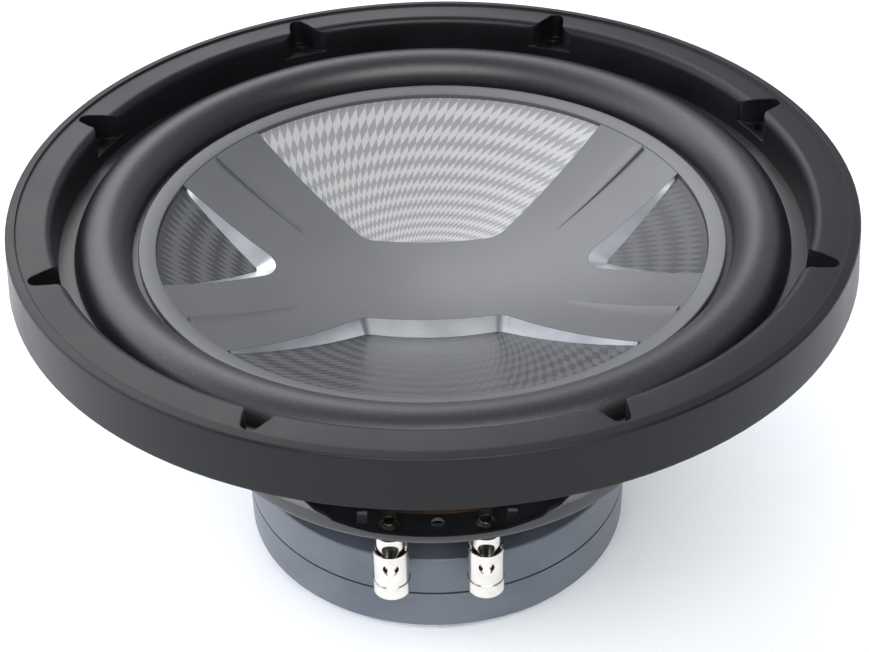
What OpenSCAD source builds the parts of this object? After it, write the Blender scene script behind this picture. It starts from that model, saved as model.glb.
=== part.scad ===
/* [Motor] */
// Radius of the two ring magnets
magnet_r = 80; // [76:1:96]
// Thickness of each ring magnet
magnet_t = 18; // [15:0.5:22]
// Radius of the back plate
back_plate_r = 76.5; // [66:0.5:84]
// Thickness of the back plate
back_plate_t = 5.5; // [4.5:0.5:8]
// Radius of the top plate
top_plate_r = 68; // [60:0.5:70]
// Thickness of the top plate
top_plate_t = 8; // [6.5:0.5:10]
// Inner radius of the voice coil former
coil_r = 25; // [21:0.5:30]
// Height of the voice coil winding
winding_h = 30; // [25:1:36]
// Radius of the vent bore through the pole
vent_r = 10; // [8:0.5:12]

/* [Basket] */
// Thickness of the stamped steel
basket_t = 1.6; // [1.2:0.1:2]
// Height from the top plate to the mounting face
basket_depth = 93.8; // [88:0.2:113]
// Height of the spider shelf above the top plate
shelf_h = 17.6; // [15:0.2:20]
// Radius of the shelf's inner edge
shelf_in_r = 77; // [74:0.5:80]
// Inside radius of the shelf's turned-up lip
lip_r = 97; // [96.5:0.5:110]
// Height of the lip above the shelf
lip_h = 4.2; // [3:0.2:6]
// Number of side windows
window_count = 4; // [3:1:5]

/* [Cone and surround] */
// Outer radius of the cone's front ring
cone_r = 113.7; // [104:0.1:137]
// Width of the front ring
ring_w = 6.7; // [5:0.1:8]
// Depth of the front plate's dish
dish_depth = 27.5; // [23:0.5:33]
// Depth of the cone behind the front plate
cone_depth = 35; // [32:0.5:38]
// Width of the surround's half roll
roll_w = 22; // [19:0.5:26]
// Thickness of the surround
surround_t = 1.6; // [1.2:0.1:2]
// Depth of the step from the surround's outer flange to its inner one
surround_step = 3.8; // [3:0.1:4.5]

/* [Trim ring] */
// Height of the trim ring
trim_h = 19.7; // [18:0.1:24]
// Distance from the basket's wall to the screw circle
screw_offset = 9.5; // [8.5:0.1:11]
// Distance from the screw circle to the trim's outer edge
rim_offset = 13.5; // [12.5:0.1:17]
// Radius of each screw hole
screw_hole_r = 2.9; // [2.5:0.1:3.2]
// Number of screw holes
screw_count = 8; // [6:1:8]
// Height of the screw ledges above the mounting face
ledge_h = 7.7; // [6:0.1:10]

/* [Terminals] */
// Distance between the two push terminals
terminal_gap = 36; // [30:0.5:43]
// Distance from the speaker's axis to the line of the terminals
terminal_y = 88.4; // [88:0.1:90]
// Radius of the terminal post
post_r = 5.5; // [4.8:0.1:5.6]
// Radius of the push sleeve
sleeve_r = 6.85; // [6.6:0.05:7]
// Radius of the ring at the sleeve's closed end
cap_r = 7.2; // [7.1:0.05:7.4]
// Radius of the wire hole in the post
wire_hole_r = 3.2; // [2.8:0.1:3.4]
// Travel of the push sleeve
press_travel = 8; // [6.5:0.5:8.5]

/* [Hidden] */
$fn = 96;

// Heights, counted up from the back plate's rear face
z_magnet = back_plate_t;
z_gap = z_magnet + 2 * magnet_t;
z_base = z_gap + top_plate_t;
z_shelf = z_base + shelf_h;
z_mount = z_base + basket_depth;
z_flange = z_mount + basket_t;
z_rim = z_mount + trim_h;
z_land = z_flange + surround_t;
z_inner = z_land - surround_step;
z_cone = z_inner - surround_t;
z_coil = (z_gap + z_base) / 2;

// Radii, counted out from the voice coil
former_t = 0.4;
winding_t = 1.6;
gap_clear = 0.6;
former_r = coil_r + former_t;
winding_r = former_r + winding_t;
pole_r = coil_r - gap_clear;
gap_r = winding_r + gap_clear;
magnet_in_r = gap_r + 6;
disc_r = cone_r - ring_w;
roll_r = cone_r + 2.3 + roll_w / 2;
roll_out_r = roll_r + roll_w / 2;
wall_r = roll_out_r + 0.2;
screw_r = wall_r + basket_t + screw_offset;
rim_r = screw_r + rim_offset;
skirt_t = 2.9;
flange_r = rim_r - skirt_t - 0.3;
trim_in_r = wall_r + 5.7;
spider_in_r = former_r + 0.3;
spider_out_r = shelf_in_r + 5;

// Fine clearances between neighbours
fit = 0.1;
glue = 0.05;

// Heights of the dished front plate and of the cone's face at a radius
function plate_z(r) = z_inner + 0.3 - dish_depth * (1 - pow(r / disc_r, 1.8));
function cone_z(r) = z_cone + surround_t - cone_depth * (1 - pow(min(r / disc_r, 1), 1.6));
function seat_z(r, clear = 0) = cone_z(r) - surround_t + clear;

// Points of an arc from one angle to another
function arc(x, y, r, a0, a1, n = 8) =
    [for (i = [0 : n]) [x + r * cos(a0 + (a1 - a0) * i / n), y + r * sin(a0 + (a1 - a0) * i / n)]];

// Closed outline of a sheet of thickness t whose upper face follows the path
function unit(v) = v / norm(v);
function side(p, i) =
    let (a = p[max(i - 1, 0)], b = p[min(i + 1, len(p) - 1)], d = unit(b - a)) [d[1], -d[0]];
function sheet(p, t) =
    concat(p, [for (i = [len(p) - 1 : -1 : 0]) p[i] + side(p, i) * t]);

// Openings between the front plate's arms, each one symmetrical about its own +Y line:
// x and y of the inner corner's centre, corner radius, and angle of the straight side
tall_window = [23.1, former_r + 10.6, 9, 47.4];
wide_window = [0, 72, 10, 51.4];

// Right half of an opening's outline, shrunk by g, out to beyond the plate's edge
function half_outline(w, g) =
    let (turn = arc(w[0], w[1], w[2] - g, -90, w[3] - 90))
    concat(turn, [turn[8] + 1.3 * disc_r * [cos(w[3]), sin(w[3])]]);
function window(w, g = 0) =
    let (half = half_outline(w, g))
    concat(half, [for (i = [len(half) - 1 : -1 : 0]) [-half[i][0], half[i][1]]]);

// Solid through a row of closed loops of points, all with the same number of points
module swept(loops) {
    k = len(loops[0]);
    n = len(loops) - 1;
    faces = concat(
        [[for (s = [k - 1 : -1 : 0]) s]],
        [for (i = [0 : n - 1], s = [0 : k - 1])
            let (a = k * i + s, b = k * i + (s + 1) % k) [a, b, a + k]],
        [for (i = [0 : n - 1], s = [0 : k - 1])
            let (a = k * i + s, b = k * i + (s + 1) % k) [b, b + k, a + k]],
        [[for (s = [0 : k - 1]) n * k + s]]);
    polyhedron([for (p = loops) each p], faces);
}

module ring(r_out, r_in, z0, z1) {
    translate([0, 0, z0])
        difference() {
            cylinder(r = r_out, h = z1 - z0);
            translate([0, 0, -1])
                cylinder(r = r_in, h = z1 - z0 + 2);
        }
}

module spin(points) {
    rotate_extrude()
        polygon(points);
}

module around(count, start = 0) {
    for (i = [0 : count - 1])
        rotate([0, 0, start + i * 360 / count])
            children();
}

module both_sides() {
    for (x = [-1, 1])
        translate([x * terminal_gap / 2, -terminal_y, 0])
            children();
}

// Pocket over each screw, a flared slot with a round end, grown by g
pocket_end_r = 3.4;
pocket_half = 4.9;
pocket_flare = 5;
function pocket(g = 0) =
    let (end = arc(screw_r + 3.4, 0, pocket_end_r + g, 80, -80, 10), throat = trim_in_r + pocket_flare,
         low = arc(throat, -pocket_half - pocket_flare, pocket_flare - g, 90, 180, 6),
         mouth = trim_in_r - 2)
    concat(end, low, [[mouth, low[6][1]], [mouth, -low[6][1]]],
           [for (i = [6 : -1 : 0]) [low[i][0], -low[i][1]]]);

module trim_ring() {
    step = 0.9;
    face_z = z_rim - step;
    roof = 2.8;
    fillet = 3.5;
    boss_wall = 2;
    outline = concat(
        [[rim_r, z_mount], [rim_r - 1.6, z_rim - 1], [rim_r - 2.1, z_rim - 0.4],
         [rim_r - 5.3, z_rim], [rim_r - 5.5, face_z]],
        arc(trim_in_r + fillet, face_z - fillet, fillet, 90, 180),
        [[trim_in_r - 0.4, z_land], [trim_in_r + 2.4, z_land], [trim_in_r + 2.4, z_flange],
         [rim_r - skirt_t, z_flange], [rim_r - skirt_t, z_mount]]);
    color("#2b2b2e")
        difference() {
            spin(outline);
            difference() {
                ring(rim_r - skirt_t - 2.6, trim_in_r + 4.6, z_flange - 1, face_z - roof);
                around(screw_count, 180 / screw_count)
                    translate([0, 0, z_mount])
                        linear_extrude(trim_h)
                            polygon(pocket(boss_wall));
            }
            around(screw_count, 180 / screw_count) {
                translate([0, 0, z_mount + ledge_h])
                    linear_extrude(trim_h)
                        polygon(pocket());
                translate([screw_r, 0, z_mount])
                    cylinder(r = screw_hole_r, h = trim_h);
            }
        }
}

window_low = z_shelf + lip_h;
window_high = z_mount - 13;
window_foot = lip_r * 0.47;
window_head = wall_r * 0.48;

// The pressed bowl between two radii, with the bend that turns the shelf up into the lip
lip_bend = 3;
basket_foot_r = gap_r + 1.4;
module bowl_pressing(r_in, r_out) {
    t = basket_t;
    rise = z_mount - z_shelf;
    step = shelf_in_r + t;
    path = concat(
        [[basket_foot_r, z_base + t], [top_plate_r - 4, z_base + t]],
        arc(top_plate_r - 4, z_base + t + 5, 5, -80, -25, 5),
        arc(step + 3, z_shelf - 4, 4, 155, 90, 5),
        arc(lip_r - lip_bend, z_shelf + lip_bend, lip_bend, -90, -8, 6),
        [[lip_r + 0.4, z_shelf + 8], [lip_r + 5.5, z_shelf + 0.2 * rise],
         [lip_r + 14, z_shelf + 0.42 * rise], [lip_r + 25, z_shelf + 0.66 * rise],
         [wall_r - 5, z_shelf + 0.86 * rise], [wall_r - 1, z_mount - 5],
         [wall_r, z_mount - 2], [wall_r, z_flange]]);
    rotate_extrude()
        intersection() {
            polygon(sheet(path, t));
            translate([r_in, z_base - 1])
                square([r_out - r_in, z_flange - z_base + 1]);
        }
}

module basket() {
    opening = concat(
        [[-0.55 * window_foot, window_low], [0.55 * window_foot, window_low]],
        arc(window_foot - 14, window_low + 15, 15, -62, -14, 5),
        arc(window_head - 9, window_high - 9, 9, 10, 90, 5),
        arc(9 - window_head, window_high - 9, 9, 90, 170, 5),
        arc(14 - window_foot, window_low + 15, 15, 194, 242, 5));
    color("#303134")
        difference() {
            union() {
                bowl_pressing(cup_r, flange_r);
                around(window_count, 180 / window_count)
                    leg_rib();
            }
            around(window_count, -90)
                rotate([90, 0, 90])
                    translate([0, 0, shelf_in_r])
                        linear_extrude(wall_r)
                            polygon(opening);
            both_sides()
                translate([0, 0, z_shelf - basket_t - 1])
                    cylinder(r = stud_r + 0.5, h = basket_t + 2);
            translate([0, 2 - terminal_y, z_shelf - basket_t - 1])
                cylinder(r = shelf_hole_r, h = basket_t + 2);
            for (x = [-slot_x, slot_x])
                translate([x - slot_w / 2, 2 - terminal_y, z_shelf - basket_t - 1])
                    cube([slot_w, slot_l, basket_t + 2]);
        }
}

module basket_flange() {
    color("#303134")
        difference() {
            ring(flange_r, wall_r + basket_t, z_mount, z_flange);
            around(screw_count, 180 / screw_count)
                translate([screw_r, 0, z_mount - 1])
                    cylinder(r = screw_hole_r, h = basket_t + 2);
        }
}

// The basket's deep middle, from the screwed foot up to the bend under the shelf
cup_r = shelf_in_r + basket_t + 1.4;
module basket_cup() {
    color("#303134")
        difference() {
            bowl_pressing(basket_foot_r - 1, cup_r);
            around(motor_screw_count)
                translate([motor_screw_r, 0, z_base - 1])
                    cylinder(r = motor_thread_r + fit, h = basket_t + 2);
        }
}

slot_x = 28.5;
slot_w = 3.8;
slot_l = 7;
shelf_hole_r = 2.7;

// Pressed stiffening rib along the middle of each leg
module leg_rib() {
    rib = 4;
    foot = [lip_r + 7, z_shelf + 22];
    head = [wall_r - 6, z_mount - 14];
    rotate([90, 0, 0])
        translate([0, 0, -rib])
            linear_extrude(2 * rib)
                polygon([foot, foot + [3, -3], head + [3.2, -3], head]);
}

module surround() {
    t = surround_t;
    mid = (z_flange + z_inner) / 2 - 0.3;
    r = roll_w / 2;
    color("#26272a")
        rotate_extrude()
            union() {
                intersection() {
                    translate([roll_r, mid])
                        difference() {
                            circle(r = r);
                            circle(r = r - t);
                        }
                    union() {
                        translate([roll_r - r - 1, mid])
                            square([r + 1, r + 1]);
                        translate([roll_r, z_flange])
                            square([r + 1, r + 1]);
                    }
                }
                translate([roll_r + r - t, z_flange])
                    square([trim_in_r + 2.2 - roll_r - r + t, t]);
                translate([disc_r + 0.6, z_cone])
                    square([roll_r - r + t - disc_r - 0.6, t]);
                translate([roll_r - r, z_cone])
                    square([t, mid - z_cone]);
            }
}

cone_t = 1.3;
cone_neck_r = former_r + glue;
module cone() {
    steps = 14;
    reach = disc_r - cone_neck_r - 3;
    path = concat(
        [[cone_neck_r, cone_z(cone_neck_r) - 9], [cone_neck_r, cone_z(cone_neck_r) - 2.4]],
        [for (i = [0 : steps])
            let (r = cone_neck_r + 3 + reach * i / steps) [r, seat_z(r) - glue]],
        [[cone_r - 0.8, z_cone - glue]]);
    color("#1d1d20")
        spin(sheet(path, cone_t));
}

module cone_ring() {
    color("#77787c")
        spin([[disc_r, z_cone], [disc_r + 0.5, z_cone], [disc_r + 0.5, z_inner + glue],
              [cone_r, z_inner + glue], [cone_r, z_inner + 1.2], [cone_r - 0.4, z_inner + 1.6],
              [disc_r + 0.4, z_inner + 0.7], [disc_r, z_inner + 0.5]]);
}

module bowl(top, low, r) {
    steps = 16;
    rs = [for (i = [0 : steps]) r * i / steps];
    spin(concat([for (x = rs) [x, plate_z(x) + top]],
                [for (i = [steps : -1 : 0]) [rs[i], max(plate_z(rs[i]) + low, seat_z(rs[i], 2 * glue))]]));
}

// Places the first shape at the two tall openings and the second at the two wide ones
module on_windows() {
    for (a = [0, 180])
        rotate([0, 0, a])
            children(0);
    for (a = [90, 270])
        rotate([0, 0, a])
            children(1);
}

plate_r = disc_r - glue;
plate_t = 2.2;
rib_h = 1.2;
module front_plate() {
    color("#6d6e72")
        union() {
            difference() {
                union() {
                    bowl(0, -plate_t, plate_r);
                    intersection() {
                        plate_space();
                        union() {
                            on_windows() {
                                linear_extrude(z_rim)
                                    polygon(window(tall_window, -2));
                                linear_extrude(z_rim)
                                    polygon(window(wide_window, -2));
                            }
                            ring(plate_r, plate_r - 2, 0, z_rim);
                        }
                    }
                }
                on_windows() {
                    linear_extrude(z_rim)
                        polygon(window(tall_window));
                    linear_extrude(z_rim)
                        polygon(window(wide_window));
                }
            }
            on_windows() {
                bevel(tall_window, 3, 0.8);
                bevel(wide_window, 7.5, 0.9);
            }
            for (mx = [0, 1], my = [0, 1])
                mirror([mx, 0, 0])
                    mirror([0, my, 0])
                        rib();
        }
}

// Sloping wall round an opening, run wide at its inner end and narrowing towards the plate's edge.
// Each station is a point of the outline, the direction into the opening and the width there.
function stations(w, run, taper) =
    let (steps = 7, far = plate_r - 2, d = [cos(w[3]), sin(w[3])],
         p = [w[0], w[1]] + w[2] * [cos(w[3] - 90), sin(w[3] - 90)],
         reach = sqrt(pow(p * d, 2) - p * p + far * far) - p * d,
         n = [-cos(w[3] - 90), -sin(w[3] - 90)], flat = w[0] > 0 ? 4 : 0)
    concat([for (i = [0 : flat - 1]) [[w[0] * i / flat, w[1] - w[2]], [0, 1], run]],
           [for (a = arc(0, 0, 1, -90, w[3] - 90)) [[w[0], w[1]] + w[2] * a, -a, run]],
           [for (i = [1 : steps]) [p + reach * i / steps * d, n, run * (1 - taper * i / steps)]]);
function section(s) =
    let (back = s[0] - 1.2 * s[1], edge = s[0] - 0.05 * s[1], foot = s[0] + s[2] * s[1],
         clear = insert_t + 3 * glue)
    [[back[0], back[1], plate_z(norm(back)) - 0.6], [edge[0], edge[1], plate_z(norm(edge)) - 0.05],
     [foot[0], foot[1], seat_z(norm(foot), clear)], [back[0], back[1], seat_z(norm(back), clear)]];
module bevel(w, run, taper) {
    half = stations(w, run, taper);
    last = len(half) - 1;
    all = concat([for (i = [last : -1 : 0]) [[-half[i][0][0], half[i][0][1]], [-half[i][1][0], half[i][1][1]],
                                             half[i][2]]],
                 [for (i = [1 : last]) half[i]]);
    swept([for (s = all) section(s)]);
}

// Rib on an arm: a ramp that rises from the tall opening's side and ends in a step towards
// the wide opening, narrowing to a point at its inner end
rib_from = [52, 25];
rib_to = [89.3, 56.9];
rib_w = 3;
module rib() {
    steps = 8;
    d = unit(rib_to - rib_from);
    across = [-d[1], d[0]];
    swept([for (i = [0 : steps])
        let (f = 0.06 + 0.94 * i / steps, step = rib_from + (rib_to - rib_from) * i / steps,
             ramp = step + rib_w * f * across, z0 = plate_z(norm(step)), z1 = plate_z(norm(ramp)))
        [[step[0], step[1], z0 - 0.8], [step[0], step[1], z0 + rib_h * f],
         [ramp[0], ramp[1], z1 - 0.05], [ramp[0], ramp[1], z1 - 0.8]]]);
}

// Space between the front plate's face and the cone's face
module plate_space() {
    steps = 16;
    low = cone_neck_r + 4;
    rs = [for (i = [0 : steps]) low + (plate_r - low) * i / steps];
    spin(concat([for (x = rs) [x, plate_z(x)]],
                [for (i = [steps : -1 : 0]) [rs[i], seat_z(rs[i], 2 * glue)]]));
}

insert_t = 0.5;
module insert(outline) {
    color("#b4b5b8")
        intersection() {
            insert_dish();
            linear_extrude(z_rim)
                polygon(outline);
        }
}

module insert_dish() {
    steps = 16;
    low = cone_neck_r + 3;
    rs = [for (i = [0 : steps]) low + (plate_r - 0.2 - low) * i / steps];
    base = [for (x = rs) [x, seat_z(x, 2 * glue)]];
    spin(concat([for (p = base) p + [0, insert_t]], [for (i = [steps : -1 : 0]) base[i]]));
}

module insert_top() {
    insert(window(tall_window, glue));
}

module insert_bottom() {
    rotate([0, 0, 180])
        insert(window(tall_window, glue));
}

module insert_left() {
    rotate([0, 0, 90])
        insert(window(wide_window, glue));
}

module insert_right() {
    rotate([0, 0, -90])
        insert(window(wide_window, glue));
}

module voice_coil_former() {
    color("#c9a063")
        ring(former_r, coil_r, z_coil - winding_h / 2 - 1, cone_z(cone_neck_r) + 0.5);
}

module voice_coil_winding() {
    color("#b46a32")
        ring(winding_r, former_r, z_coil - winding_h / 2, z_coil + winding_h / 2);
}

module spider() {
    waves = 5;
    steps = 40;
    height = 2.2;
    land = z_shelf + 0.8;
    neck = spider_in_r + 2.4;
    run = shelf_in_r - 1 - neck;
    path = concat(
        [[spider_in_r + 0.8, land + 3], [spider_in_r + 1.2, land + 0.8]],
        [for (i = [0 : steps]) [neck + run * i / steps, land + height * sin(360 * waves * i / steps)]],
        [[spider_out_r, land]]);
    color("#3a3026")
        spin(sheet(path, 0.8));
}

module top_plate() {
    color("#3b3c40")
        difference() {
            ring(top_plate_r, gap_r, z_gap, z_base);
            around(motor_screw_count)
                translate([motor_screw_r, 0, z_gap - 1])
                    cylinder(r = motor_thread_r + fit, h = top_plate_t + 2);
        }
}

module magnet(z0) {
    edge = 1;
    color("#5d6570")
        spin([[magnet_in_r, z0], [magnet_r - edge / 2, z0], [magnet_r, z0 + edge / 2],
              [magnet_r, z0 + magnet_t - edge / 2], [magnet_r - edge / 2, z0 + magnet_t],
              [magnet_in_r, z0 + magnet_t]]);
}

module magnet_front() {
    magnet(z_magnet + magnet_t);
}

module magnet_rear() {
    magnet(z_magnet);
}

module yoke() {
    edge = 1.5;
    flare = 4;
    color("#b9bdc2")
        spin(concat([[back_plate_r - edge, 0], [back_plate_r, edge], [back_plate_r, back_plate_t],
                     [pole_r, back_plate_t], [pole_r, z_base - 1], [pole_r - 1, z_base],
                     [vent_r, z_base]],
                    arc(vent_r + flare, flare, flare, 180, 270, 6)));
}

motor_screw_count = 6;
motor_screw_r = 48;
motor_thread_r = 2.4;
module motor_screws() {
    color("#8a8c90")
        around(motor_screw_count)
            translate([motor_screw_r, 0, 0]) {
                translate([0, 0, z_gap + 1])
                    cylinder(r = motor_thread_r, h = top_plate_t + basket_t);
                difference() {
                    translate([0, 0, z_base + basket_t + glue])
                        cylinder(r1 = 4.6, r2 = 3.6, h = 2.8);
                    translate([0, 0, z_base + basket_t + 1.4])
                        cylinder(r = 1.9, h = 3, $fn = 6);
                }
            }
}

// Heights on the push terminals, counted down from the shelf's underside
stud_r = 2.5;
washer_t = 1;
z_under = z_shelf - basket_t;
z_post = z_under - washer_t - glue;
z_hole = z_under - 6.2;
z_sleeve_top = z_under - 0.4 - press_travel;
z_sleeve_hole = z_hole - press_travel;
z_cap = z_sleeve_hole - 15.9;
cap_h = 6.8;
cap_floor = 1.4;
z_post_end = z_cap + cap_floor + press_travel + 0.2;
sleeve_in_r = post_r + fit;
spring_bore_r = 3.7;
z_spring_top = z_hole - wire_hole_r - 1;

module post() {
    difference() {
        union() {
            translate([0, 0, z_post_end])
                cylinder(r = post_r, h = z_post - z_post_end);
            translate([0, 0, z_post - 1])
                cylinder(r = stud_r, h = z_tab + tab_t + 2.4 - z_post);
        }
        translate([0, 0, z_post_end - 1])
            cylinder(r = spring_bore_r, h = z_spring_top - z_post_end + 1);
        translate([0, 2 * post_r, z_hole])
            rotate([90, 0, 0])
                cylinder(r = wire_hole_r, h = 4 * post_r);
    }
}

module sleeve() {
    groove = 0.5;
    difference() {
        spin([[0, z_cap], [cap_r - 0.8, z_cap], [cap_r, z_cap + 0.8], [cap_r, z_cap + cap_h - groove],
              [sleeve_r - 0.3, z_cap + cap_h - groove], [sleeve_r - 0.3, z_cap + cap_h],
              [sleeve_r, z_cap + cap_h], [sleeve_r, z_sleeve_top], [sleeve_r - 0.5, z_sleeve_top],
              [sleeve_r - 0.5, z_sleeve_hole - 3.4], [sleeve_in_r, z_sleeve_hole - 3.4],
              [sleeve_in_r, z_cap + cap_floor], [0, z_cap + cap_floor]]);
        translate([0, 2 * sleeve_r, z_sleeve_hole])
            rotate([90, 0, 0])
                cylinder(r = wire_hole_r - 0.2, h = 4 * sleeve_r);
    }
}

// Coil spring swept as one tube
spring_wire = 0.8;
spring_turns = 6;
module coil_spring() {
    low = z_cap + cap_floor + 0.6;
    high = z_spring_top - 0.6;
    mean = spring_bore_r - 0.9;
    per_turn = 12;
    n = spring_turns * per_turn;
    sides = 6;
    swept([for (i = [0 : n])
        [for (k = [0 : sides - 1])
            let (a = 360 * i / per_turn, b = -360 * k / sides, r = mean + spring_wire / 2 * cos(b))
            [r * cos(a), r * sin(a), low + (high - low) * i / n + spring_wire / 2 * sin(b)]]]);
}

module at_left() {
    translate([-terminal_gap / 2, -terminal_y, 0])
        children();
}

module at_right() {
    translate([terminal_gap / 2, -terminal_y, 0])
        children();
}

module post_left() {
    color("#dcdcd8")
        at_left()
            post();
}

module post_right() {
    color("#dcdcd8")
        at_right()
            post();
}

module sleeve_left() {
    color("#ecebe6")
        at_left()
            sleeve();
}

module sleeve_right() {
    color("#ecebe6")
        at_right()
            sleeve();
}

module spring_left() {
    color("#9a9ca0")
        at_left()
            coil_spring();
}

module spring_right() {
    color("#9a9ca0")
        at_right()
            coil_spring();
}

tab_t = 0.8;
z_tab = z_shelf + washer_t + 2 * glue;
// The upper washer stays on the flat of the shelf, inside the lip's bend
washer_r = min(4.2, lip_r - lip_bend + 0.3 - norm([terminal_gap / 2, terminal_y]));
module insulators() {
    color("#c9b58c")
        both_sides() {
            ring(post_r - 0.2, stud_r + fit, z_under - washer_t, z_under - glue);
            ring(washer_r, stud_r + fit, z_shelf + glue, z_shelf + washer_t);
        }
}

module solder_tab() {
    tab_w = 5;
    difference() {
        union() {
            translate([0, 0, z_tab])
                cylinder(r = 4, h = tab_t);
            translate([-tab_w / 2, 0, z_tab])
                cube([tab_w, 7, tab_t]);
            translate([-tab_w / 2, 7 - tab_t, z_tab])
                cube([tab_w, tab_t, 6]);
        }
        translate([0, 0, z_tab - 1])
            cylinder(r = stud_r + fit, h = tab_t + 2);
        translate([0, 8, z_tab + 4])
            rotate([90, 0, 0])
                cylinder(r = 1, h = 4);
    }
}

module solder_tab_left() {
    color("#cfcfc8")
        at_left()
            solder_tab();
}

module solder_tab_right() {
    color("#cfcfc8")
        at_right()
            solder_tab();
}

module terminal_rivets() {
    color("#c8c8c4")
        both_sides()
            translate([0, 0, z_tab + tab_t + glue])
                difference() {
                    cylinder(r1 = 3.8, r2 = 3.2, h = 1.3);
                    translate([0, 0, -1])
                        cylinder(r = stud_r + fit, h = 4);
                }
}

// Flexible braided lead from a solder tab up to the top of the former
lead_r = 1.1;
lead_start = [0, 1.6, 3];
lead_mid = [[-0.2, 5, 7], [-0.6, 12, 13], [-1.6, 22, 19], [-3, 32, 24], [-4.6, 42, 26]];
lead_rings = 18;
function knot(i) = [terminal_gap / 2, 7 - terminal_y, z_tab] + (i == 0 ? lead_start : lead_mid[i - 1]);
lead_end = [terminal_gap / 2 - 9.5, -former_r - 0.2, 0];
lead_path = concat([for (i = [0 : 5]) knot(i)],
                   [[lead_end[0], -sqrt(pow(former_r + 1.6, 2) - pow(lead_end[0], 2)), cone_z(cone_neck_r) - 14]]);
function smooth(p, u) =
    let (n = len(p) - 1, i = min(floor(u * n), n - 1), f = u * n - i,
         a = p[max(i - 1, 0)], b = p[i], c = p[i + 1], d = p[min(i + 2, n)])
    0.5 * (2 * b + (c - a) * f + (2 * a - 5 * b + 4 * c - d) * f * f + (3 * b - a - 3 * c + d) * f * f * f);
module lead() {
    sides = 8;
    at = [for (i = [0 : lead_rings]) smooth(lead_path, i / lead_rings)];
    swept([for (i = [0 : lead_rings])
        let (d = unit(at[min(i + 1, lead_rings)] - at[max(i - 1, 0)]), u = unit(cross(d, [1, 0, 0])),
             v = cross(d, u))
        [for (k = [0 : sides - 1])
            at[i] + lead_r * (cos(360 * k / sides) * u + sin(360 * k / sides) * v)]]);
}

module lead_right() {
    color("#a8683a")
        lead();
}

module lead_left() {
    color("#a8683a")
        mirror([1, 0, 0])
            lead();
}

trim_ring();
basket();
basket_flange();
basket_cup();
surround();
cone();
cone_ring();
front_plate();
insert_top();
insert_bottom();
insert_left();
insert_right();
voice_coil_former();
voice_coil_winding();
spider();
top_plate();
magnet_front();
magnet_rear();
yoke();
motor_screws();
post_left();
post_right();
sleeve_left();
sleeve_right();
spring_left();
spring_right();
insulators();
solder_tab_left();
solder_tab_right();
terminal_rivets();
lead_left();
lead_right();
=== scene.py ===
import math

import bpy
from mathutils import Matrix, Vector


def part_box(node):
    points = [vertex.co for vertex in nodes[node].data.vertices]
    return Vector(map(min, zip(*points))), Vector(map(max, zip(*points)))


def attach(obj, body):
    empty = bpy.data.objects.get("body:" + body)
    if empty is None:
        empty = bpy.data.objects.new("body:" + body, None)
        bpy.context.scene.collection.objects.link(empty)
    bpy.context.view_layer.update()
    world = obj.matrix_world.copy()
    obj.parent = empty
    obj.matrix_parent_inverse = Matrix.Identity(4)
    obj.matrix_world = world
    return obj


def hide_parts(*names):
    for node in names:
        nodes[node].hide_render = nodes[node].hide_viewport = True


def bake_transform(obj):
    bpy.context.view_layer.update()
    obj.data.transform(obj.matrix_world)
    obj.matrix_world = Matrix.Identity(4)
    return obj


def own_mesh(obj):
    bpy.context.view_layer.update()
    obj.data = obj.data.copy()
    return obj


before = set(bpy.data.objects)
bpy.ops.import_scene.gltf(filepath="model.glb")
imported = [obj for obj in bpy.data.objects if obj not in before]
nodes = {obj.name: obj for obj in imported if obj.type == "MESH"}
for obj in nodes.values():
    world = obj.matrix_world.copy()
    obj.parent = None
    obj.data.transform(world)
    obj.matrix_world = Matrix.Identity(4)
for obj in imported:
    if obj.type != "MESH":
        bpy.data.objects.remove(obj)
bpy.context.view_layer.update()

# Back plate and pole: one turned iron piece, zinc plated, glued behind the rear magnet.
# The plating is bright with fine turning rings, and a little cloudy from handling.


def colour(code):
    """Linear red, green, blue and alpha of an sRGB hex code."""
    parts = [int(code[i:i + 2], 16) / 255 for i in (1, 3, 5)]
    return [p / 12.92 if p <= 0.04045 else ((p + 0.055) / 1.055) ** 2.4 for p in parts] + [1.0]


def add(tree, kind, values=None, links=None, **settings):
    """Adds one shader node with its settings, input values and links."""
    made = tree.nodes.new(kind)
    for name, value in settings.items():
        setattr(made, name, value)
    for name, value in (values or {}).items():
        made.inputs[name].default_value = value
    for name, socket in (links or {}).items():
        tree.links.new(socket, made.inputs[name])
    return made


def new_material(name, rough, metallic=0.0, **inputs):
    """A material with its shader set, and the shader node itself."""
    made = bpy.data.materials.new(name)
    made.use_nodes = True
    shader = made.node_tree.nodes["Principled BSDF"]
    shader.inputs["Roughness"].default_value = rough
    shader.inputs["Metallic"].default_value = metallic
    for key, value in inputs.items():
        shader.inputs[key.replace("_", " ")].default_value = value
    return made, made.node_tree, shader


def math_node(tree, operation, a, b=0.0, c=0.0):
    """One sum on sockets or plain numbers."""
    made = tree.nodes.new("ShaderNodeMath")
    made.operation = operation
    for i, value in enumerate((a, b, c)):
        if isinstance(value, (int, float)):
            made.inputs[i].default_value = value
        else:
            tree.links.new(value, made.inputs[i])
    return made.outputs[0]


def noise(tree, size_mm, detail=3.0, roughness=0.5, stretch=None):
    """Noise whose blobs are about size_mm across, fixed to the part."""
    place = add(tree, "ShaderNodeTexCoord").outputs["Object"]
    if stretch:
        place = add(tree, "ShaderNodeMapping", {"Scale": stretch}, {"Vector": place}).outputs[0]
    settings = {"Scale": 1000.0 / size_mm, "Detail": detail, "Roughness": roughness}
    return add(tree, "ShaderNodeTexNoise", settings, {"Vector": place}).outputs[0]


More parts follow.
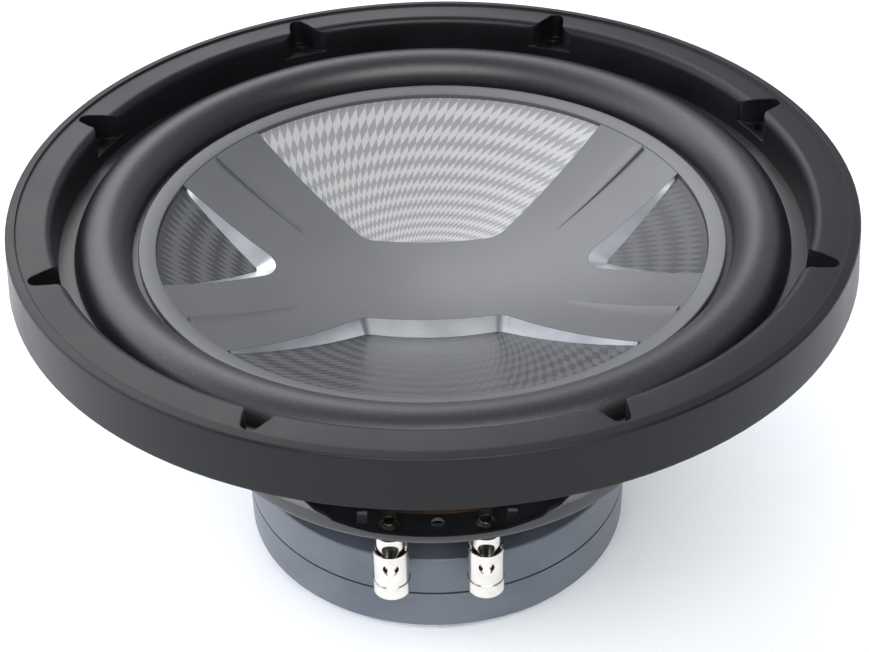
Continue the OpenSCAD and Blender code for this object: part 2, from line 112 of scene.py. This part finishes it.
def blend_colours(tree, fac, first, second, low=0.35, high=0.65):
    """Colour running from first to second as fac rises."""
    ramp = add(tree, "ShaderNodeValToRGB", None, {"Fac": fac})
    ramp.color_ramp.elements[0].position = low
    ramp.color_ramp.elements[0].color = colour(first)
    ramp.color_ramp.elements[1].position = high
    ramp.color_ramp.elements[1].color = colour(second)
    return ramp.outputs[0]


def bump(tree, shader, height, depth_mm, normal=None):
    """Relief of depth_mm on the shader, optionally on top of another normal."""
    made = add(tree, "ShaderNodeBump", {"Distance": depth_mm / 1000.0, "Strength": 1.0}, {"Height": height})
    if normal:
        tree.links.new(normal, made.inputs["Normal"])
    tree.links.new(made.outputs[0], shader.inputs["Normal"])


def rounded(tree, edge_mm):
    """Normal that makes edges look rounded by edge_mm."""
    return add(tree, "ShaderNodeBevel", {"Radius": edge_mm / 1000.0}, samples=4).outputs[0]


def surface(name, first, second, patch_mm, rough, grain_mm, grain_depth_mm,
            metallic=0.0, edge_mm=0.0, **inputs):
    """A finish with cloudy colour and gloss, fine grain, and edges that look rounded by edge_mm."""
    made, tree, shader = new_material(name, rough[0], metallic, **inputs)
    patch = noise(tree, patch_mm, 4.0)
    tree.links.new(blend_colours(tree, patch, first, second), shader.inputs["Base Color"])
    spread = add(tree, "ShaderNodeMapRange",
                 {"From Min": 0.3, "From Max": 0.7, "To Min": rough[0], "To Max": rough[1]}, {"Value": patch})
    tree.links.new(spread.outputs[0], shader.inputs["Roughness"])
    softened = rounded(tree, edge_mm) if edge_mm else None
    bump(tree, shader, noise(tree, grain_mm, 2.0), grain_depth_mm, softened)
    return made


def radius_of(tree):
    """Distance from the speaker's axis, in millimetres."""
    place = add(tree, "ShaderNodeTexCoord").outputs["Object"]
    flat = add(tree, "ShaderNodeVectorMath", None, None, operation="MULTIPLY")
    flat.inputs[1].default_value = (1000.0, 1000.0, 0.0)
    tree.links.new(place, flat.inputs[0])
    length = add(tree, "ShaderNodeVectorMath", None, {"Vector": flat.outputs[0]}, operation="LENGTH")
    return length.outputs["Value"]


def ripples(tree, per_mm):
    """Rings about the speaker's axis, with per_mm radians of a wave to each millimetre."""
    return math_node(tree, "SINE", math_node(tree, "MULTIPLY", radius_of(tree), per_mm))


def weld_facets(thing):
    """Joins the points that neighbouring facets share, so that shading runs smoothly over them."""
    weld = thing.modifiers.new("weld", "WELD")
    weld.merge_threshold = 0.000002


def dress(name, material, angle=30.0):
    """Gives a CAD node its finish, and smooth shading except across edges sharper than angle."""
    thing = nodes[name]
    thing.data.materials.clear()
    thing.data.materials.append(material)
    for face in thing.data.polygons:
        face.use_smooth = True
        face.material_index = 0
    weld_facets(thing)
    split = thing.modifiers.new("split", "EDGE_SPLIT")
    split.split_angle = math.radians(angle)
    return thing


zinc = surface("zinc plated iron", "#b9c0c8", "#d5dade", 14, (0.2, 0.32), 0.5, 0.004, 1.0, 0.4)
tree = zinc.node_tree
bump(tree, tree.nodes["Principled BSDF"], ripples(tree, 14.0), 0.003, rounded(tree, 0.4))
dress("yoke", zinc)

# Two ferrite rings, stacked and glued, with a satin blue-grey coat over the sintered stone.
# The outside is ground round, so it has faint rings. The chamfer faces where the two rings meet are painted
# near-black as painted shade in the crease between them.
ferrite = surface("coated ferrite", "#555c66", "#626973", 22, (0.34, 0.44), 0.7, 0.012, 0.0, 0.5,
                  Specular_IOR_Level=0.6)
tree = ferrite.node_tree
grinding = noise(tree, 3.0, 2.0, 0.5, (0.03, 0.03, 1.0))
bump(tree, tree.nodes["Principled BSDF"], grinding, 0.02, rounded(tree, 0.5))
# Painted shade: a near-black finish for the chamfer faces at the seam, standing in for the shade in the
# crease between the two magnets.
seam_shade = surface("painted seam shade", "#0e0f11", "#141518", 5, (0.6, 0.7), 0.5, 0.01)
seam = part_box("magnet_rear")[1][2]
seam_reach = 0.0004
for name in ("magnet_rear", "magnet_front"):
    magnet = dress(name, ferrite)
    magnet.data.materials.append(seam_shade)
    for face in magnet.data.polygons:
        if abs(face.center[2] - seam) < seam_reach and abs(face.normal[2]) < 0.9:
            face.material_index = 1

# Top plate: a black plated iron ring in front of the magnets, with the basket screwed to it.
# Six pan-head screws hold the basket down on it, inside, below the spider.
black_plate = surface("black plated iron", "#1c1d20", "#292a2e", 12, (0.35, 0.5), 0.6, 0.01, 0.0, 0.4)
dress("top_plate", black_plate)
screw_steel = surface("zinc plated screw", "#8b8d90", "#a3a5a8", 3, (0.28, 0.42), 0.3, 0.006, 1.0, 0.15)
dress("motor_screws", screw_steel)

# Basket: one steel pressing with a flange, a bowl with four windows and a cup over the motor.
# Its satin black powder coat has a fine orange peel.
powder = surface("satin black powder coat", "#1f2024", "#28292d", 18, (0.30, 0.40), 0.9, 0.022, 0.0, 0.5,
                 Specular_IOR_Level=0.55)
for name in ("basket", "basket_flange", "basket_cup"):
    dress(name, powder)

# Push terminals: bright nickel plated brass posts riveted through the shelf, and sleeves
# that slide up them against a spring. Both are turned, so faint lines run round them.


def turned_metal(name, first, second, rough, line_mm, depth_mm, edge_mm):
    """Bright metal with fine lines round its vertical axis."""
    made, tree, shader = new_material(name, rough, 1.0)
    patch = noise(tree, 4.0, 3.0)
    tree.links.new(blend_colours(tree, patch, first, second), shader.inputs["Base Color"])
    lines = noise(tree, line_mm, 3.0, 0.6, (0.02, 0.02, 1.0))
    bump(tree, shader, lines, depth_mm, rounded(tree, edge_mm))
    return made


nickel = turned_metal("bright nickel plate", "#e9e5dc", "#f4f1ea", 0.14, 0.4, 0.004, 0.25)
for side in ("left", "right"):
    dress("post_" + side, nickel)
    dress("sleeve_" + side, nickel)

# Springs inside the posts: bright steel wire, each pushing its sleeve back down.
# They shorten towards their upper end as the sleeve is pressed.


def soft_copy(name, node):
    """A copy of a CAD node in its place, with its facets welded."""
    copy = bpy.data.objects.new(name, nodes[node].data.copy())
    bpy.context.scene.collection.objects.link(copy)
    weld_facets(copy)
    return copy


spring_steel = turned_metal("bright spring wire", "#8f9296", "#a9acb0", 0.25, 0.2, 0.002, 0.05)
for side in ("left", "right"):
    dress("spring_" + side, spring_steel, 50.0)
    copy = soft_copy("coil_spring_" + side, "spring_" + side)
    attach(copy, "frame")
    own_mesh(copy)
    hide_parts("spring_" + side)

# Black fibre washers that keep the terminals off the basket, and tinned brass solder tabs
# under the riveted ends of the posts. Tabs and rivets are painted dark grey as painted shade.
fibre = surface("black vulcanised fibre", "#19191b", "#242427", 2.5, (0.55, 0.7), 0.25, 0.03, 0.0, 0.15)
dress("insulators", fibre)
# Painted shade: the tabs and rivets get a dark grey in place of bright tin, for the shade they sit in.
tinned = surface("tinned brass painted dark", "#55544f", "#6a6862", 3, (0.35, 0.5), 0.3, 0.008, 1.0, 0.12)
dress("terminal_rivets", tinned)
for side in ("left", "right"):
    dress("solder_tab_" + side, tinned)

# Flexible leads: bare copper braid from each tab up to the coil's former, soldered at both ends.
# The braid is two sets of strands crossing round the tube.
braid, tree, shader = new_material("copper braid", 0.38, 0.9)
place = add(tree, "ShaderNodeTexCoord").outputs["Object"]
waves = []
for angle in (0.7, -0.7):
    slanted = add(tree, "ShaderNodeMapping", {"Rotation": (angle, angle, angle)}, {"Vector": place})
    strands = add(tree, "ShaderNodeTexWave", {"Scale": 420.0, "Distortion": 0.6},
                  {"Vector": slanted.outputs[0]})
    waves.append(strands.outputs[1])
crossing = math_node(tree, "MAXIMUM", waves[0], waves[1])
tree.links.new(blend_colours(tree, crossing, "#5a2f1b", "#b9764a", 0.2, 0.8), shader.inputs["Base Color"])
bump(tree, shader, crossing, 0.12)
for side in ("left", "right"):
    dress("lead_" + side, braid, 60.0)
    copy = soft_copy("braided_lead_" + side, "lead_" + side)
    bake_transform(copy)
    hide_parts("lead_" + side)

# Voice coil: copper wire wound on an amber film former, varnished, hanging in the gap.
# The turns show as fine rings about a third of a millimetre apart.
enamel, tree, shader = new_material("enamelled copper wire", 0.3, 0.5, Coat_Weight=0.6)
place = add(tree, "ShaderNodeTexCoord").outputs["Object"]
height_mm = math_node(tree, "MULTIPLY",
                      add(tree, "ShaderNodeSeparateXYZ", None, {"Vector": place}).outputs["Z"], 1000.0)
wire_pitch_mm = 0.35
turns = math_node(tree, "SINE", math_node(tree, "MULTIPLY", height_mm, 2 * math.pi / wire_pitch_mm))
tree.links.new(blend_colours(tree, noise(tree, 6.0), "#8a3d18", "#b5602c"), shader.inputs["Base Color"])
bump(tree, shader, turns, 0.05)
dress("voice_coil_winding", enamel)
film = surface("amber polyimide film", "#b07a2c", "#c9923c", 12, (0.22, 0.34), 1.5, 0.01, 0.0, 0.0,
               Coat_Weight=0.3)
dress("voice_coil_former", film)

# Spider: a corrugated ring of resin treated cloth that centres the coil.
# Made here as a full ring in equal sectors.


def plan(name):
    """Largest radius of a round CAD node, and its lowest and highest point."""
    low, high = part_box(name)
    return (high[0] - low[0]) / 2, low[2], high[2]


def sheet_outline(upper, thickness):
    """Closed outline of a sheet whose upper face is the given curve."""
    lower = []
    last = len(upper) - 1
    for i, (r, z) in enumerate(upper):
        (r0, z0), (r1, z1) = upper[max(i - 1, 0)], upper[min(i + 1, last)]
        length = math.hypot(r1 - r0, z1 - z0)
        lower.append((r + (z1 - z0) / length * thickness, z - (r1 - r0) / length * thickness))
    return upper + lower[::-1]


def ring_sector(name, outline, start, end, steps, material):
    """Outline of (radius, height) points turned about the Z axis from one angle to another."""
    count = len(outline)
    points = []
    faces = []
    for k in range(steps + 1):
        a = start + (end - start) * k / steps
        points += [(r * math.cos(a), r * math.sin(a), z) for r, z in outline]
        if k:
            base = (k - 1) * count
            for i in range(count):
                j = (i + 1) % count
                faces.append((base + i, base + count + i, base + count + j, base + j))
    mesh = bpy.data.meshes.new(name)
    mesh.from_pydata(points, [], faces)
    mesh.materials.append(material)
    for face in mesh.polygons:
        face.use_smooth = True
    mesh.set_sharp_from_angle(angle=math.radians(40))
    made = bpy.data.objects.new(name, mesh)
    bpy.context.scene.collection.objects.link(made)
    return made


def bending_ring(node, outline, material, sectors=24, steps=8):
    """Rebuilds a node as a full ring of equal sectors turned from the outline, and hides the node."""
    for s in range(sectors):
        start = 2 * math.pi * s / sectors
        end = 2 * math.pi * (s + 1) / sectors
        part = ring_sector(f"{node}_sector_{s + 1}", outline, start, end, steps, material)
        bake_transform(part)
        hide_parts(node)


cloth, tree, shader = new_material("resin treated cloth", 0.75)
place = add(tree, "ShaderNodeTexCoord").outputs["Object"]
threads = []
threads_per_metre = 1700.0
for direction in ((threads_per_metre, 0.0, 0.0), (0.0, threads_per_metre, 0.0)):
    axis = add(tree, "ShaderNodeVectorMath", None, None, operation="DOT_PRODUCT")
    axis.inputs[1].default_value = direction
    tree.links.new(place, axis.inputs[0])
    threads.append(math_node(tree, "SINE", math_node(tree, "MULTIPLY", axis.outputs["Value"], 2 * math.pi)))
weave = math_node(tree, "MULTIPLY", threads[0], threads[1])
tree.links.new(blend_colours(tree, noise(tree, 5.0), "#4a3521", "#5f4630"), shader.inputs["Base Color"])
bump(tree, shader, weave, 0.08)
spider_r, spider_low, spider_high = plan("spider")
coil_r = plan("voice_coil_former")[0]
cloth_t = 0.0008
wave_count, wave_height = 5, 0.0022
rim = 0.006
neck = coil_r + 0.0018
land = spider_low + wave_height + cloth_t
run = spider_r - rim - neck
wave_steps = 60
curve = [(coil_r + 0.0003, spider_high - 0.0002), (coil_r + 0.0007, land + cloth_t)]
curve += [(neck + run * i / wave_steps,
           land + wave_height * math.sin(2 * math.pi * wave_count * i / wave_steps))
          for i in range(wave_steps + 1)]
curve += [(spider_r - 0.0002, land)]
bending_ring("spider", sheet_outline(curve, cloth_t), cloth,
             steps=4)

# Cone: black injection moulded polypropylene, seen from behind through the basket's windows.
# Its satin back has faint moulding rings.
polypropylene = surface("black polypropylene", "#151619", "#1e1f22", 25, (0.38, 0.5), 0.8, 0.02, 0.0, 0.4)
tree = polypropylene.node_tree
bump(tree, tree.nodes["Principled BSDF"], ripples(tree, 2.1), 0.05)
dress("cone", polypropylene)

# Front ring and cross-shaped front plate: moulded plastic, painted satin grey with fine metal flake.
# The sloping walls round the plate's openings are bright, which shows as pale edges.


def flake_paint(name, first, second, rough, metallic):
    """Satin metallic paint: fine flakes that vary the gloss, under a thin clear coat."""
    made, tree, shader = new_material(name, rough, metallic, Coat_Weight=0.12, Coat_Roughness=0.35)
    flake = noise(tree, 0.12, 2.0, 0.7)
    cloud = noise(tree, 30.0, 2.0)
    mixed = math_node(tree, "ADD", math_node(tree, "MULTIPLY", flake, 0.7),
                      math_node(tree, "MULTIPLY", cloud, 0.3))
    tree.links.new(blend_colours(tree, mixed, first, second, 0.3, 0.7), shader.inputs["Base Color"])
    bump(tree, shader, flake, 0.006, rounded(tree, 0.4))
    return made


satin_grey = flake_paint("satin grey metallic paint", "#4f5052", "#5a5b5d", 0.4, 0.3)
bright_grey = surface("bright satin bevel", "#b9bbbf", "#cbcdd0", 20, (0.28, 0.34), 0.8, 0.004, 1.0)
dress("cone_ring", satin_grey)
plate = dress("front_plate", satin_grey, 25.0)
plate.data.materials.append(bright_grey)

# Openings of the plate: the corner's centre, its radius and the slope of the straight side, in metres
# and degrees, each in its own quarter with the opening's middle line along +Y.
tall_opening = (0.0231, 0.036, 0.009, 47.4)
wide_opening = (0.0, 0.072, 0.010, 51.4)


def inside(opening, x, y):
    """How far a point is inside an opening's outline, in metres, below zero outside it."""
    cx, cy, r, slope = opening
    x = abs(x)
    lean = math.radians(slope)
    along = (x - cx) * math.cos(lean) + (y - cy) * math.sin(lean)
    across = (x - cx) * math.sin(lean) - (y - cy) * math.cos(lean)
    if along > 0:
        return r - across
    if x > cx:
        return r - math.hypot(x - cx, y - cy)
    return y - cy + r


def turned(x, y, quarter):
    """The point after the part is turned back by some quarters."""
    return [(x, y), (y, -x), (-x, -y), (-y, x)][quarter % 4]


wall_depth, wall_tilt = 0.0001, 0.05
for face in plate.data.polygons:
    x, y = face.center[0], face.center[1]
    depth = max(inside(tall_opening, *turned(x, y, 0)), inside(tall_opening, *turned(x, y, 2)),
                inside(wide_opening, *turned(x, y, 1)), inside(wide_opening, *turned(x, y, 3)))
    if depth > wall_depth and face.normal[2] > wall_tilt:
        face.material_index = 1

# Window inserts: thin printed film on the cone behind each opening, with a lozenge pattern
# that grows outwards from the centre. One film: the top copy is pale under a clear skin as painted light, the
# others dark as painted shade.


def lozenge_film(name, dark, pale, reflection_edge, rough, sheen):
    """Lozenges between two sets of spirals about the speaker's axis, from border outwards along Y.

    Nearer the X axis than that edge it is plain and pale, a painted reflection of the bright wall beside it.
    sheen is both how metallic the film is and how strong its clear skin.
    """
    made, tree, shader = new_material(name, rough, sheen, Coat_Weight=sheen, Coat_Roughness=0.2,
                                      Specular_IOR_Level=0.4)
    place = add(tree, "ShaderNodeTexCoord").outputs["Object"]
    xyz = add(tree, "ShaderNodeSeparateXYZ", None, {"Vector": place})
    theta = math_node(tree, "ARCTAN2", xyz.outputs["Y"], xyz.outputs["X"])
    radius = radius_of(tree)
    steep = math_node(tree, "LOGARITHM", math_node(tree, "DIVIDE", radius, 100.0), math.e)
    sets = []
    for arms, twist in ((80.0, 72.0), (80.0, 14.0)):
        phase = math_node(tree, "ADD", math_node(tree, "MULTIPLY", theta, arms),
                          math_node(tree, "MULTIPLY", steep, twist))
        sets.append(math_node(tree, "SINE", phase))
    cell = math_node(tree, "MULTIPLY", sets[0], sets[1])
    crisp = add(tree, "ShaderNodeMapRange", {"From Min": -0.06, "From Max": 0.06}, {"Value": cell}).outputs[0]
    both = add(tree, "ShaderNodeMix", None, {"Factor": crisp}, data_type="RGBA")
    both.inputs["A"].default_value = colour(dark)
    both.inputs["B"].default_value = colour(pale)
    # Painted reflection: plain pale colour nearer the X axis than the edge, standing in for the bright wall's
    # reflection.
    edge = math_node(tree, "GREATER_THAN", math_node(tree, "ABSOLUTE", xyz.outputs["Y"]), reflection_edge)
    framed = add(tree, "ShaderNodeMix", None, {"Factor": edge}, data_type="RGBA")
    framed.inputs["A"].default_value = colour(pale)
    tree.links.new(both.outputs["Result"], framed.inputs["B"])
    tree.links.new(framed.outputs["Result"], shader.inputs["Base Color"])
    tree.links.new(add(tree, "ShaderNodeMapRange", {"To Min": rough, "To Max": rough + 0.12},
                       {"Value": crisp}).outputs[0], shader.inputs["Roughness"])
    bump(tree, shader, crisp, 0.02)
    return made


# Painted light and shade: one film, given pale colours on the top insert as lit and dark colours on the other
# three as shaded.
lit_film = lozenge_film("lozenge film painted lit", "#868686", "#a8a8a7", 0.0305, 0.42, 0.25)
shaded_film = lozenge_film("lozenge film painted in shade", "#2c2d2f", "#4c4d4f", 0.0, 0.42, 0.0)
dress("insert_top", lit_film)
for name in ("insert_bottom", "insert_left", "insert_right"):
    dress(name, shaded_film)

# Surround: a foam rubber half roll moulded in one with its two flanges, glued to the cone's edge
# and clamped under the trim ring. Matt black with faint paler specks from the moulding.
foam, tree, shader = new_material("speckled foam rubber", 0.4, 0.0, Specular_IOR_Level=0.6)
speck = noise(tree, 0.9, 2.0, 0.6)
tree.links.new(blend_colours(tree, speck, "#121316", "#36373c", 0.58, 0.8), shader.inputs["Base Color"])
fine = noise(tree, 0.35, 2.0, 0.6)
bump(tree, shader, fine, 0.05)
surround_r, surround_low, surround_high = plan("surround")
cone_ring_r = plan("cone_ring")[0]
skin = 0.0016
roll_in = cone_ring_r + 0.0023
roll = 0.011
roll_middle = roll_in + roll
foot_in = cone_ring_r - 0.0061
centre_z = surround_high - roll
flange_z = centre_z + 0.0013


def arch(r, start, end, steps=20):
    """Points on the half roll at radius r from its middle, from one angle to another in degrees."""
    angles = [math.radians(start + (end - start) * i / steps) for i in range(steps + 1)]
    return [(roll_middle + r * math.cos(a), centre_z + r * math.sin(a)) for a in angles]


top = [(surround_r, flange_z + skin), (roll_middle + roll + 0.0007, flange_z + skin)]
foot = [(roll_in, surround_low + skin), (foot_in, surround_low + skin), (foot_in, surround_low),
        (roll_in + skin, surround_low)]
underside = [(roll_middle + roll - 0.0002, flange_z), (surround_r, flange_z)]
surround_outline = top + arch(roll, 14, 180) + foot + arch(roll - skin, 180, 8) + underside
bending_ring("surround", surround_outline, foam)

# Trim ring: one black moulded ring that covers the basket's edge and clamps the surround.
# Satin plastic with a fine spark-eroded grain, and softly rounded pocket edges.
trim_plastic = surface("black moulded plastic", "#0d0e10", "#121316", 30, (0.34, 0.42), 0.35, 0.010, 0.0, 0.8,
                       Specular_IOR_Level=0.25)
dress("trim_ring", trim_plastic)

# Floor and studio: a pale seamless sheet, soft lights behind, in front and on the left,
# and a room that is pale behind the speaker and darker in front of it.
paper = surface("pale paper", "#f2f3f5", "#f7f8fa", 300, (0.6, 0.7), 3.0, 0.01)
floor_mesh = bpy.data.meshes.new("floor")
floor_mesh.from_pydata([(-6, -4, 0), (6, -4, 0), (6, 8, 0), (-6, 8, 0)], [], [(0, 1, 2, 3)])
floor_mesh.materials.append(paper)
floor = bpy.data.objects.new("floor", floor_mesh)
bpy.context.scene.collection.objects.link(floor)

world = bpy.data.worlds.new("studio")
bpy.context.scene.world = world
world.use_nodes = True
tree = world.node_tree
direction = add(tree, "ShaderNodeTexCoord").outputs["Generated"]
heading = add(tree, "ShaderNodeSeparateXYZ", None, {"Vector": direction})
backwards = math_node(tree, "MULTIPLY_ADD", heading.outputs["Y"], 0.5, 0.5)
room = blend_colours(tree, backwards, "#5a5d64", "#eef2fa", 0.3, 0.7)
tree.links.new(room, tree.nodes["Background"].inputs["Color"])
tree.nodes["Background"].inputs["Strength"].default_value = 0.9
bpy.context.scene.view_settings.view_transform = "Standard"


def soft_light(name, place, target, width, height, power, tint="#ffffff"):
    """A rectangular soft box pointing at the target."""
    lamp = bpy.data.lights.new(name, "AREA")
    lamp.shape = "RECTANGLE"
    lamp.size = width
    lamp.size_y = height
    lamp.energy = power
    lamp.color = colour(tint)[:3]
    holder = bpy.data.objects.new(name, lamp)
    holder.location = place
    holder.rotation_euler = (Vector(target) - Vector(place)).to_track_quat("-Z", "Y").to_euler()
    bpy.context.scene.collection.objects.link(holder)
    return holder


soft_light("back left", (-0.7, 1.4, 1.5), (0, 0, 0.1), 2.0, 1.2, 25.0, "#fdfdff")
soft_light("front top", (0.1, -1.5, 1.8), (0, 0, 0.05), 2.4, 1.2, 60.0, "#ffffff")
soft_light("left", (-1.5, -0.1, 0.75), (0, 0, 0.1), 2.0, 1.4, 20.0, "#f4f7ff")

# Camera: a short telephoto view from in front and above, 35 degrees down, with a small lens shift.
camera_data = bpy.data.cameras.new("camera")
camera_data.sensor_width = 36.0
camera_data.lens = 70.36
camera_data.shift_x = 0.0361
camera_data.shift_y = -0.0460
camera = bpy.data.objects.new("camera", camera_data)
bpy.context.scene.collection.objects.link(camera)
stand = (0.0, -0.5568, 0.5043)
pitch, yaw, roll_angle = math.radians(34.95), math.radians(-1.20), math.radians(-1.98)
ahead = Vector((math.sin(yaw) * math.cos(pitch), math.cos(yaw) * math.cos(pitch), -math.sin(pitch)))
level = Vector((math.cos(yaw), -math.sin(yaw), 0))
upward = level.cross(ahead)
right = math.cos(roll_angle) * level + math.sin(roll_angle) * upward
upward = -math.sin(roll_angle) * level + math.cos(roll_angle) * upward
camera.matrix_world = Matrix(((right[0], upward[0], -ahead[0], stand[0]),
                              (right[1], upward[1], -ahead[1], stand[1]),
                              (right[2], upward[2], -ahead[2], stand[2]),
                              (0, 0, 0, 1)))
bpy.context.scene.camera = camera
